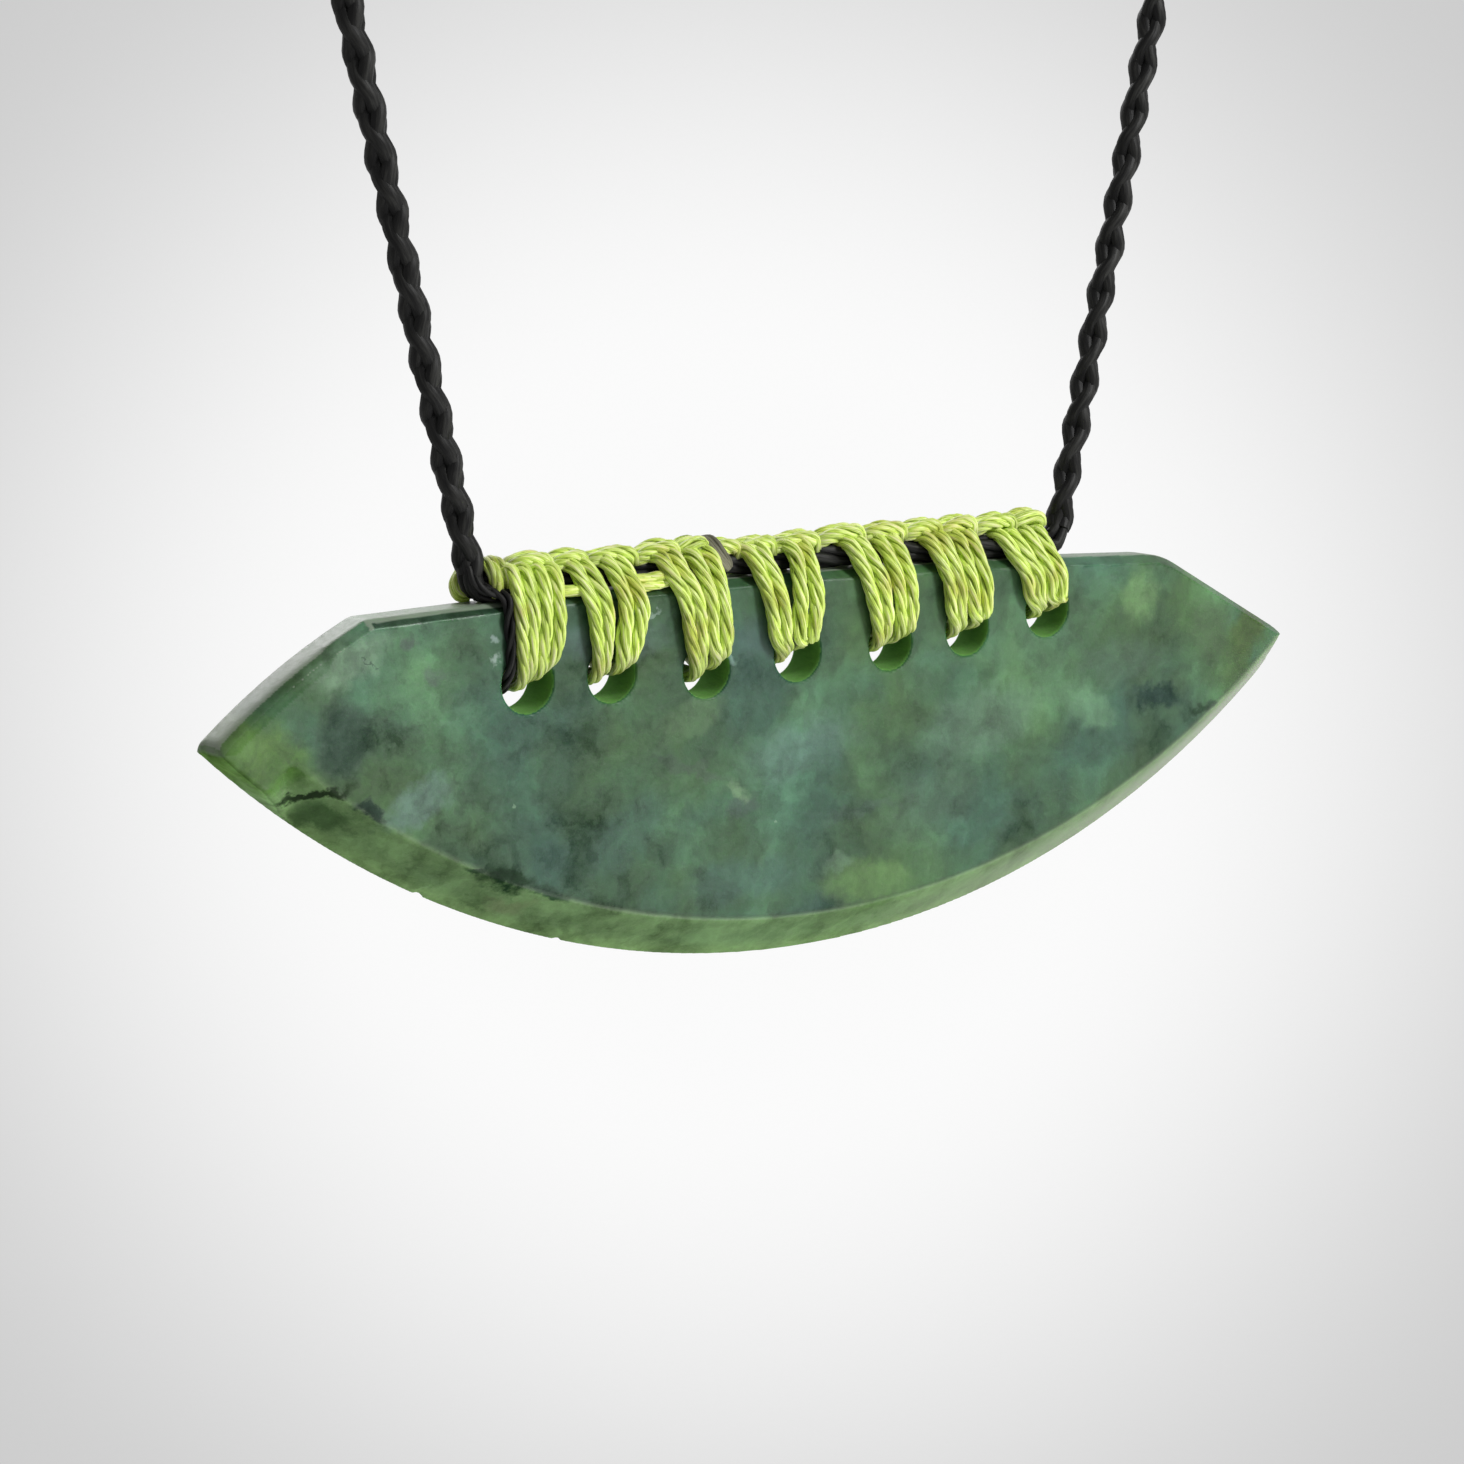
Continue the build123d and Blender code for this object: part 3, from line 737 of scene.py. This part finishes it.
@dataclass
class JadeShield:
    """The half-shield slab, finished from a copy of the CAD solid, in millimetres until it is placed."""

    finish: PolishedNephrite
    voxel: float = 0.14
    rounding_steps: int = 110
    # the worn ridge ends this far back and up, and the worn left end this far back
    ridge_back: float = 0.7
    ridge_top: float = 0.6
    end_back: float = 0.9
    # how near a hole's wall a point counts as drilled, and as its rim
    drilled_gap: float = 0.3
    rim_gap: float = 0.5
    # how squarely a surface faces the front at the least: on the face, and on a chamfer
    face_front: float = 0.84
    chamfer_front: float = 0.4
    # painted light and shade: how light the left tip's bevel is painted, and how dark the chamfer next to it and the
    # bevel's ridge are painted
    tip_painted_light: float = 1.7
    chamfer_painted_shade: float = 0.42
    ridge_painted_shade: float = 0.7
    # how far the walls are painted pale, a painted reflection of the bright surroundings
    wall_painted_reflection: float = 0.6
    kept_share: float = 0.3
    chips: tuple[tuple[float, float, float, float], ...] = ((-32.3, -10.9, 0.55, 0.22), (-20.9, -15.7, 0.4, 0.14))

    def build(self) -> Object:
        """Returns the polished slab."""
        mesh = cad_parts["jade_shield"].data.copy()
        mesh.transform(Matrix.Translation(NAPE_MM) @ Matrix.Scale(1000, 4))
        work = bmesh.new()
        work.from_mesh(mesh)
        bmesh.ops.remove_doubles(work, verts=work.verts, dist=1e-4)
        work.to_mesh(mesh)
        work.free()
        source = place_object("slab_source", mesh)
        remesh = source.modifiers.new("even", "REMESH")
        remesh.mode, remesh.voxel_size, remesh.use_smooth_shade = "VOXEL", self.voxel, True
        ease = source.modifiers.new("ease", "SMOOTH")
        ease.factor, ease.iterations = 0.5, 3
        even = freeze(source, "slab_even")
        # hand polishing rounds the ridge of the bevel and its ends, not the thin edge behind it
        worn = even.vertex_groups.new(name="worn")
        places = [(vertex.index, vertex.co) for vertex in even.data.vertices]
        ridge = [i for i, p in places if p.x > LEFT_END_X and p.y < self.ridge_back and p.z < self.ridge_top]
        worn.add(ridge, 0.6, "REPLACE")
        worn.add([i for i, p in places if p.x <= LEFT_END_X and p.y < self.end_back], 1.0, "REPLACE")
        rounded = even.modifiers.new("rounded", "SMOOTH")
        rounded.factor, rounded.iterations, rounded.vertex_group = 0.5, self.rounding_steps, "worn"
        even.modifiers.new("fewer", "DECIMATE").ratio = self.kept_share
        slab = freeze(even, "jade_shield_polished")
        self.chip(slab.data)
        self.measure_depth(slab.data)
        self.mark_walls(slab.data)
        slab.data.transform(Matrix.Scale(MM, 4) @ Matrix.Translation(-NAPE_MM))
        slab.data.materials.clear()
        slab.data.materials.append(self.finish.make())
        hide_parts("jade_shield")
        return slab

    def chip(self, mesh: Mesh) -> None:
        """Knocks two small chips out of the belly's edge."""
        for x, z, radius, bite in self.chips:
            for vertex in mesh.vertices:
                gap = math.hypot(vertex.co.x - x, vertex.co.z - z)
                if gap < radius:
                    share = 1 - (gap / radius) ** 2
                    vertex.co.z += bite * share
                    vertex.co.y -= bite * 0.5 * share

    def mark_walls(self, mesh: Mesh) -> None:
        """Marks the drilled walls, what faces down and what is matt, and where light, shade and reflection are painted
        on the walls.
        """
        marks: dict[str, list[float]] = {"bore": [], "under": [], "matt": [], "shade": [], "pale": []}
        for vertex in mesh.vertices:
            place, normal = vertex.co, vertex.normal
            front = -normal.y
            gap = min(abs(math.hypot(place.x - lash.x, place.z - lash.z) - lash.radius) for lash in LASHINGS)
            rim = gap < self.rim_gap and abs(front) < 0.97
            under = 0.0 if rim else clamp((-normal.z - 0.06) / 0.4)
            # painted reflection makes the bevel paler to the right and towards the edge, and painted shade makes its
            # ridge darker
            rightwards, edgewards = clamp((place.x - 4.0) / 38.0), clamp(0.35 + (place.y + 1.5) * 0.4, 0.0, 0.92)
            crease = max(0.0, 1.0 - abs(under - 0.25) / 0.25) if place.x > CORD_X else 0.0
            shade, pale = 1.0 - (1.0 - self.ridge_painted_shade) * crease, 1.08 * under * rightwards * edgewards
            # painted light: the down-facing wall of the left tip is lightened
            if place.x < LEFT_TIP_X and under > 0.3 and front < 0.45:
                shade = self.tip_painted_light
            if not rim and normal.z > 0.3 and front < self.face_front:
                # painted shade darkens the chamfer along the top left of the cord, and painted reflection makes the
                # walls pale
                chamfer, along_top = front > self.chamfer_front, abs(normal.x) < 0.3
                if chamfer and along_top and -37.5 < place.x < CORD_X and place.y < -1.25:
                    shade = self.chamfer_painted_shade
                elif not chamfer or (along_top and place.x < CORD_X):
                    pale = self.wall_painted_reflection
            chamfer_matt = 0.7 * float(normal.z > 0.03 and self.face_front < front < 0.995)
            marks["bore"].append(float(gap < self.drilled_gap and abs(front) < 0.6))
            marks["under"].append(under)
            marks["matt"].append(1.0 if rim else max(under, chamfer_matt))
            marks["shade"].append(shade)
            marks["pale"].append(pale)
        set_marks(mesh, marks)

    @staticmethod
    def measure_depth(mesh: Mesh, most: float = 9.0) -> None:
        """Stores how much stone lies behind each point.

        Args:
            mesh: the slab.
            most: the largest value, also used where the ray meets nothing.
        """
        work = bmesh.new()
        work.from_mesh(mesh)
        tree = BVHTree.FromBMesh(work)
        work.free()
        depths = []
        for vertex in mesh.vertices:
            inward = -vertex.normal
            hit = tree.ray_cast(vertex.co + inward * 0.05, inward)
            depths.append(min(hit[3], most) if hit[0] is not None else most)
        set_marks(mesh, {"depth_mm": depths})


@dataclass(frozen=True)
class Lashing:
    """One stitch: its hole, and where its four strands pass from the crown down into the hole.

    Each level holds the strands left to right, as offset from the hole's middle and height.
    """

    x: float
    z: float
    radius: float
    crown: tuple[Pair, ...]
    body: tuple[Pair, ...]
    low: tuple[Pair, ...]
    foot: tuple[Pair, ...]


LASHINGS = (
    Lashing(-25.3, 3.35, 2.1,
            ((-1.05, 11.15), (0.0, 11.1), (1.2, 11.0), (2.3, 10.9)),
            ((-0.95, 8.7), (-0.1, 8.65), (0.85, 8.6), (1.85, 8.5)),
            ((-0.8, 6.1), (-0.1, 6.05), (0.75, 6.0), (1.7, 5.95)),
            ((-0.5, 3.5), (-0.1, 3.85), (0.85, 4.05), (1.45, 4.4))),
    Lashing(-18.25, 3.35, 2.0,
            ((-2.7, 10.65), (-1.55, 10.6), (0.35, 10.5), (1.5, 10.4)),
            ((-2.1, 8.4), (-0.95, 8.35), (0.45, 8.3), (1.65, 8.2)),
            ((-1.6, 5.95), (-0.8, 5.9), (0.35, 5.8), (1.5, 5.7)),
            ((-1.35, 3.4), (-0.9, 3.65), (0.65, 3.85), (1.4, 4.2))),
    Lashing(-10.05, 2.9, 2.0,
            ((-3.5, 10.8), (-2.25, 10.7), (-0.6, 10.6), (0.75, 10.5)),
            ((-2.3, 8.15), (-1.35, 8.1), (-0.35, 8.0), (0.7, 7.95)),
            ((-1.8, 5.3), (-1.05, 5.2), (-0.05, 5.15), (0.9, 5.1)),
            ((-1.05, 2.8), (-0.7, 3.1), (0.75, 3.45), (1.35, 3.95))),
    Lashing(-1.9, 3.4, 2.05,
            ((-3.9, 10.6), (-2.75, 10.5), (0.0, 10.35), (1.2, 10.2)),
            ((-2.95, 7.6), (-1.95, 7.5), (-0.45, 7.4), (0.75, 7.3)),
            ((-2.4, 5.0), (-1.6, 4.9), (-0.5, 4.85), (0.6, 4.8)),
            ((-1.5, 3.4), (-1.1, 3.7), (0.3, 4.1), (1.0, 4.45))),
    Lashing(6.7, 3.35, 1.95,
            ((-3.3, 10.5), (-2.1, 10.4), (-0.3, 10.3), (0.95, 10.2)),
            ((-2.5, 7.95), (-1.4, 7.9), (-0.1, 7.8), (1.05, 7.75)),
            ((-1.75, 5.3), (-0.95, 5.25), (0.15, 5.2), (1.1, 5.1)),
            ((-1.35, 3.45), (-0.9, 3.7), (0.55, 3.9), (1.3, 4.2))),
    Lashing(14.05, 3.85, 2.0,
            ((-3.2, 10.3), (-1.95, 10.2), (-0.45, 10.1), (0.85, 10.0)),
            ((-2.4, 7.75), (-1.5, 7.7), (-0.45, 7.6), (0.7, 7.55)),
            ((-2.05, 5.5), (-1.25, 5.4), (-0.1, 5.35), (0.95, 5.3)),
            ((-1.35, 3.85), (-0.85, 4.1), (0.75, 4.3), (1.35, 4.7))),
    Lashing(21.9, 4.65, 2.05,
            ((-3.8, 9.9), (-2.65, 9.8), (-1.2, 9.7), (0.0, 9.6)),
            ((-2.6, 7.55), (-1.65, 7.5), (-0.6, 7.4), (0.4, 7.35)),
            ((-2.2, 6.0), (-1.45, 5.95), (-0.4, 5.9), (0.5, 5.8)),
            ((-1.15, 4.65), (-0.7, 4.9), (0.65, 5.1), (1.25, 5.4))),
)


@dataclass
class Binding:
    """The seven stitches, the row of hitches above them and the loose ends, all of waxed thread."""

    thread: Material
    slab: Slab
    laid: LaidThread
    strand: float = 1.1
    lay: Lay = Lay(ply=0.25, off=0.28, plies=5, pitch=8.2, sides=7)
    flat: Lay = Lay(ply=0.25, off=0.29, plies=5, pitch=8.0, sides=7)
    bow: tuple[float, float, float, float] = (0.0, 0.25, 0.45, 0.6)
    # the least and the greatest girth of a stitch's strand
    girths: Pair = (0.98, 1.25)
    # each lump's left and right end, its top, and how much its right end is lifted
    lumps: tuple[tuple[float, float, float, float], ...] = (
        (-25.8, -22.7, 12.15, -0.12), (-22.7, -19.7, 12.0, 0.12), (-19.6, -15.5, 11.98, 0.0),
        (-15.5, -11.9, 12.05, 0.18), (-11.8, -9.5, 12.2, 0.1), (-9.6, -6.5, 11.85, 0.0), (-6.6, -3.4, 11.8, 0.1),
        (-3.3, 0.6, 11.9, 0.12), (0.7, 4.8, 12.1, 0.1), (4.9, 8.8, 12.08, 0.0), (8.9, 12.1, 12.03, 0.1),
        (12.2, 15.4, 12.03, 0.1), (15.5, 19.2, 11.95, 0.1), (19.2, 22.2, 12.15, 0.0))

    def stitch_runs(self, lash: Lashing, number: int) -> list[Run]:
        """Works out the four closed loops of one stitch.

        Args:
            lash: the stitch's levels.
            number: its number, for a steady change of tone.

        Returns:
            The four runs, left to right.
        """
        face = self.slab.thickness / 2 + self.strand / 2
        over = self.slab.top(lash.x) + 2.0
        room = lash.radius - self.strand * 0.38
        chance = random.Random(number)
        runs = []
        for index, bow in enumerate(self.bow):
            crown, body, low, foot = (level[index] for level in (lash.crown, lash.body, lash.low, lash.foot))
            inside = Vector((foot[0], 0, foot[1] - lash.z))
            if inside.length > room:
                inside *= room / inside.length
            sway = [chance.uniform(-0.07, 0.07) for _ in range(2)]
            front = [
                (lash.x + crown[0] - 0.35, -0.85, over),
                (lash.x + crown[0], -1.45, crown[1] - 0.1),
                (lash.x + body[0] + sway[0], -(face + bow), body[1]),
                (lash.x + low[0] + sway[1], -(face + bow * 0.7), low[1]),
                (lash.x + inside.x, -self.slab.thickness / 2 - 0.12, lash.z + inside.z + 0.1),
            ]
            middle = [(lash.x + inside.x * 0.95, 0.0, lash.z + inside.z - 0.4)]
            back = [(x, -y if abs(y) < face else face + bow * 0.4, z) for x, y, z in reversed(front)]
            crest = [(lash.x + crown[0] - 0.5, 0.0, over + 0.05)]
            # a strand is as wide as its pair leaves room for
            pair = index - index % 2
            top, mid, end = [clamp((level[pair + 1][0] - level[pair][0]) * 0.98, *self.girths)
                             for level in (lash.crown, lash.body, lash.low)]
            girth = [top, top, mid, end, 0.8, 0.75, 0.8, end, mid, top, top, top]
            runs.append(Run([at(*point) for point in front + middle + back + crest], closed=True, hand=Hand.LEFT,
                            tone=(0.37 * number + 0.29 * index) % 1, girth=girth))
        return runs

    def build_stitches(self) -> list[Object]:
        """Returns the seven stitches."""
        pieces = []
        for number, lash in enumerate(LASHINGS, start=1):
            line = line_mesh("stitch_line", self.stitch_runs(lash, number))
            piece = self.laid.piece("stitch_%d_threads" % number, line, self.lay, self.thread)
            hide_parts("stitch_%d" % number)
            pieces.append(piece)
        return pieces

    def build_ridge(self) -> Object:
        """Returns the row of hitches on top of the carrier, one strand in front and one behind for each lump."""
        chance = random.Random(7)
        runs = []
        for left, right, top, rise in self.lumps:
            middle, half, z = (left + right) / 2, (right - left) / 2, top - 0.56
            for side in (-1, 1):
                wave = [chance.uniform(-0.06, 0.06) for _ in range(3)]
                points = [
                    (middle - half * 1.12, side * 0.15, z - 0.72),
                    (middle - half * 0.8, side * 0.42, z - 0.3 - rise + wave[0]),
                    (middle - half * 0.2, side * 0.56, z - 0.02 + wave[1]),
                    (middle + half * 0.45, side * 0.6, z + 0.08 + rise * 0.5),
                    (middle + half * 0.84, side * 0.62, z - 0.04 + rise + wave[2]),
                    (middle + half * 1.02, side * 0.5, z - 0.7),
                ]
                # painted shade: the ridge's threads take only low tones, which darken them
                runs.append(Run([at(*p) for p in points], tone=chance.uniform(0.0, 0.25),
                                girth=[0.45, 0.8, 1.08, 1.18, 1.05, 0.7]))
        # two turns round the carrier start the row
        steps = 12
        for x, lean in ((-27.5, 0.25), (-26.5, 0.45)):
            centre = self.slab.top(x) + 1.5
            points = []
            for k in range(steps):
                angle = math.tau * k / steps
                points.append(at(x - lean * math.sin(angle), -1.2 * math.cos(angle), centre + 1.15 * math.sin(angle)))
            runs.append(Run(points, closed=True, tone=chance.random(), girth=[0.88] * steps))
        piece = self.laid.piece("hitch_ridge_threads", line_mesh("ridge_line", runs), self.flat, self.thread)
        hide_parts("hitch_ridge")
        return piece

    def build_ends(self) -> Object:
        """Returns the loop that starts the row behind the cord, and the bits between the first stitches."""
        loop = [(-28.2, 2.0, 11.0), (-28.8, 1.8, 10.3), (-29.0, 1.4, 9.65), (-28.75, 1.2, 9.35), (-28.3, 1.2, 9.4)]
        runs = [Run([at(*p) for p in loop], tone=0.9, girth=[0.6] * 5, sheltered=False)]
        bits = ((-22.9, -19.2, 9.42, 0.9, 0.75), (-16.9, -12.4, 9.85, 0.6, 0.4), (-16.9, -12.6, 9.25, 0.8, 0.42))
        for left, right, z, tone, girth in bits:
            points = [at(left, -1.25, z - 0.1), at((left + right) / 2, -1.5, z), at(right, -1.2, z + 0.1)]
            runs.append(Run(points, tone=tone, girth=[girth] * 3, sheltered=False))
        return self.laid.piece("binding_ends", line_mesh("ends_line", runs), self.lay, self.thread)

    def build_olive_end(self, finish: Material) -> Object:
        """Returns the flat grey olive end that crosses the ridge after the third stitch.

        Args:
            finish: its material.

        Returns:
            The piece, of four threads side by side.
        """
        points = [(-9.7, 0.9, 11.5), (-9.35, 0.4, 11.9), (-9.0, -0.2, 12.0), (-8.85, -0.8, 11.6),
                  (-8.5, -1.15, 10.9), (-8.1, -1.25, 10.35), (-7.75, -1.15, 9.95)]
        girth = [0.9, 1.0, 1.05, 1.05, 1.0, 0.85, 0.4]
        runs = []
        for k in (-0.75, -0.25, 0.25, 0.75):
            places = [at(x + k * 0.55 * g, y - abs(k) * 0.03, z + k * 0.15) for (x, y, z), g in zip(points, girth)]
            runs.append(Run(places, tone=0.4 + 0.1 * k, girth=girth, sheltered=False))
        return self.laid.piece("olive_end", line_mesh("olive_line", runs), Lay(0.2, 0.08, 2, 9.0), finish)


@dataclass
class Carrier:
    """The bundle of black strands along the top edge, with its two turns up into the braid."""

    cord: Material
    slab: Slab
    laid: LaidThread
    left: float = -27.4
    right: float = 22.9
    lay: Lay = Lay(ply=0.42, off=0.5, plies=5, pitch=30.0, step=0.4)
    loose_lay: Lay = Lay(ply=0.2, off=0.2, plies=3, pitch=5.0)

    def build(self) -> Object:
        """Returns the bundle."""
        stations = [self.left + (self.right - self.left) * k / 8 for k in range(9)]
        points = [(-29.1, 0, 12.2), (-28.85, 0, 11.1), (-28.45, 0, 10.25),
                  *((x, 0, self.slab.top(x) + 0.95) for x in stations),
                  (23.75, 0, 9.7), (24.25, 0, 10.5), (24.6, 0, 11.8)]
        turn = [0.55, 0.95, 1.15, 1.1]
        run = Run([at(*p) for p in points], tone=0.3, girth=[*turn, *([1.0] * 7), *turn[::-1]], sheltered=False)
        piece = self.laid.piece("carrier_strands", line_mesh("carrier_line", [run]), self.lay, self.cord)
        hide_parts("carrier_cord", "turn_left", "turn_right")
        return piece

    def build_loose(self) -> Object:
        """Returns the single black strands: down beside the first stitch and splayed on the edge."""
        strands = (
            [(-28.6, -0.3, 10.4), (-27.6, -1.2, 9.8), (-27.0, -1.85, 9.1), (-26.95, -1.95, 7.8), (-26.85, -1.95, 6.2),
             (-26.8, -1.9, 4.9), (-26.85, -1.5, 3.8), (-26.8, -0.6, 2.9), (-26.5, 0.6, 2.8)],
            [(-29.3, -0.4, 11.5), (-28.9, -0.9, 10.4), (-28.0, -1.2, 9.8), (-26.6, -1.25, 9.7), (-24.8, -0.9, 10.0)],
            [(-29.2, 0.5, 11.2), (-28.7, 0.2, 10.0), (-27.8, -0.6, 9.5), (-26.4, -0.9, 9.4), (-24.8, -0.7, 9.6)],
        )
        runs = [Run([at(*p) for p in points], tone=0.2 * k) for k, points in enumerate(strands)]
        return self.laid.piece("loose_black_strands", line_mesh("loose_line", runs), self.loose_lay, self.cord)


@dataclass
class NeckCord:
    """The closed loop of braid round the neck. Its line is a spline on the route's points."""

    cord: Material
    braid: LaidThread
    lay: Lay = Lay(ply=0.6, off=0.42, plies=4, pitch=6.92, step=0.35)
    swing: float = 0.1
    route: tuple[Triple, ...] = (
        (-0.028793, 0.0, 0.01102),
        (-0.0412, 0.0, 0.0634),
        (-0.0541, 0.0012, 0.1176),
        (-0.0626, 0.0110, 0.1510),
        (-0.0674, 0.0350, 0.1735),
        (-0.0618, 0.0660, 0.1875),
        (-0.0435, 0.0925, 0.1955),
        (-0.0166, 0.1070, 0.1990),
        (0.0134, 0.1066, 0.1992),
        (0.0395, 0.0914, 0.1952),
        (0.0572, 0.0652, 0.1870),
        (0.0626, 0.0342, 0.1725),
        (0.0574, 0.0106, 0.1500),
        (0.0490, 0.0010, 0.1166),
        (0.0364, 0.0, 0.0626),
        (0.024323, 0.0, 0.010486),
    )

    def build(self) -> Object:
        """Returns the braid."""
        curve = bpy.data.curves.new("neck_route", "CURVE")
        curve.dimensions = "3D"
        curve.resolution_u = 48
        spline = curve.splines.new("NURBS")
        spline.points.add(len(self.route) - 1)
        for point, place in zip(spline.points, self.route):
            point.co = (*(Vector(place) - NAPE_MM * MM), 1.0)
        spline.order_u = 3
        spline.use_endpoint_u = True
        guide = place_object("neck_route", curve)
        bpy.context.view_layer.update()
        line = bpy.data.meshes.new_from_object(guide.evaluated_get(bpy.context.evaluated_depsgraph_get()))
        bpy.data.objects.remove(guide)
        count = len(line.vertices)
        set_marks(line, {"tone": [0.0] * count, "light": [1.0] * count})
        piece = self.braid.piece("neck_cord_braid", line, self.lay, self.cord, swing=self.swing)
        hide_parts("neck_cord")
        return piece


@dataclass
class Studio:
    """Camera, sweep and lights, in degrees, millimetres and metres."""

    azimuth: float = 36.85
    elevation: float = 9.42
    distance: float = 0.28756
    lens: float = 98.4
    aim: Vector = field(default_factory=lambda: at(-6.56, 0, -2.13))
    floor_z: float = at(0, 0, -260).z
    room_light: float = 0.24
    # each lamp's name, direction, distance, size and power in watts
    lamps: tuple[tuple[str, Triple, float, float, float], ...] = (
        ("key", (0.42, -0.75, 0.5), 0.55, 0.12, 2.4),
        ("bounce", (0.4, -0.4, -0.82), 0.7, 0.5, 3.4),
        ("rim", (0.14, 0.79, 0.6), 0.7, 0.5, 2.0),
    )

    def axes(self) -> tuple[Vector, Vector, Vector]:
        """Returns the camera's right, up and forward directions."""
        turn, tilt = math.radians(self.azimuth), math.radians(self.elevation)
        forward = Vector((math.sin(turn) * math.cos(tilt), math.cos(turn) * math.cos(tilt), -math.sin(tilt)))
        right = Vector((math.cos(turn), -math.sin(turn), 0))
        return right, right.cross(forward), forward

    def build(self) -> None:
        """Adds the camera, the sweep, the lights and the surroundings."""
        right, up, forward = self.axes()
        turn = Matrix((right, up, -forward)).transposed().to_4x4()
        data = bpy.data.cameras.new("photo_camera")
        data.lens, data.sensor_width, data.clip_start, data.clip_end = self.lens, 36, 0.01, 20
        place = Matrix.Translation(self.aim - forward * self.distance) @ turn
        bpy.context.scene.camera = place_object("photo_camera", data, place)
        self.sweep(forward)
        for name, direction, away, size, watts in self.lamps:
            self.lamp(name, Vector(direction).normalized(), away, size, watts)
        world = bpy.data.worlds.new("room")
        world.use_nodes = True
        wire(world.node_tree, world.node_tree.nodes["Background"], {0: linear("F4F4F4"), 1: self.room_light})
        bpy.context.scene.world = world
        bpy.context.scene.view_settings.view_transform = "Standard"

    def lamp(self, name: str, direction: Vector, away: float, size: float, watts: float) -> None:
        """Adds a soft square lamp that faces the pendant.

        Args:
            name: the lamp's name.
            direction: from the pendant to the lamp.
            away: distance in metres.
            size: side of the square in metres.
            watts: its power.
        """
        data = bpy.data.lights.new(name, "AREA")
        data.shape, data.size, data.energy = "SQUARE", size, watts
        turn = direction.to_track_quat("Z", "Y").to_matrix().to_4x4()
        place_object(name, data, Matrix.Translation(self.aim + direction * away) @ turn)

    def sweep(self, forward: Vector) -> None:
        """Adds a round pale floor whose rim curves up into a wall all the way round.

        Args:
            forward: the photo camera's direction.
        """
        flat, bend, wall, steps = 0.9, 0.5, 1.6, 16
        profile = [(0.0, 0.0), (flat * 0.5, 0.0), (flat, 0.0)]
        for k in range(1, steps + 1):
            angle = math.pi / 2 * k / steps
            profile.append((flat + bend * math.sin(angle), bend - bend * math.cos(angle)))
        profile.append((flat + bend, wall))
        work = bmesh.new()
        verts = [work.verts.new((r, 0, z)) for r, z in profile]
        edges = [work.edges.new(pair) for pair in zip(verts, verts[1:])]
        bmesh.ops.spin(work, geom=verts + edges, cent=(0, 0, 0), axis=(0, 0, 1), angle=math.tau, steps=96,
                       use_merge=True)
        bmesh.ops.remove_doubles(work, verts=work.verts, dist=1e-5)
        bmesh.ops.recalc_face_normals(work, faces=work.faces)
        bmesh.ops.translate(work, verts=work.verts, vec=Vector((self.aim.x, self.aim.y, self.floor_z)))
        if sum(face.normal.z for face in work.faces if abs(face.normal.z) > 0.99) < 0:
            bmesh.ops.reverse_faces(work, faces=work.faces)
        mesh = bpy.data.meshes.new("paper_sweep")
        work.to_mesh(mesh)
        work.free()
        for polygon in mesh.polygons:
            polygon.use_smooth = True
        floor = place_object("paper_sweep", mesh)
        mesh.materials.append(PaperSweep().make(self.aim - forward * self.distance, forward))
        # the paper is only the view's backdrop: the room and the lamps light the pendant, also from below
        floor.visible_diffuse = False
        floor.visible_shadow = False


def main() -> None:
    """Builds the pieces in order and reports each one."""
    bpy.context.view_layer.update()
    studio = Studio()
    studio.build()
    log.info("studio: camera %.0f mm away", studio.distance / MM)
    slab = Slab()
    lime = WaxedThread("lime_waxed_thread", light="FBFFB6", body="DCF966", shade="A2BE38", groove_shade="5E6A12",
                       soil="DFCB9A").make()
    black = WaxedThread("black_waxed_cord", light="31312F", body="1D1D1C", shade="131313", groove_shade="0D0D0D",
                        roughness=0.5, sheen=0.0, gloss=0.16).make()
    olive = WaxedThread("grey_olive_end", light="84826A", body="6C6A55", shade="504F3C", groove_shade="46452F",
                        roughness=0.7).make()
    laid, braid = LaidThread(), LaidThread(braided=True)
    neck = NeckCord(black, braid).build()
    carrier = Carrier(black, slab, laid)
    binding = Binding(lime, slab, laid)
    stone = JadeShield(PolishedNephrite(patches=PATCHES)).build()
    dressed = {
        "jade": [stone],
        "black_cord": [neck, carrier.build(), carrier.build_loose()],
        "thread": [*binding.build_stitches(), binding.build_ridge(), binding.build_ends(),
                   binding.build_olive_end(olive)],
    }
    for slot, pieces in dressed.items():
        for piece in pieces:
            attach(piece, ROOT)
            triangles = sum(len(polygon.vertices) - 2 for polygon in piece.data.polygons)
            log.info("%s: %d triangles", piece.name, triangles)


if __name__ == "__main__":
    main()
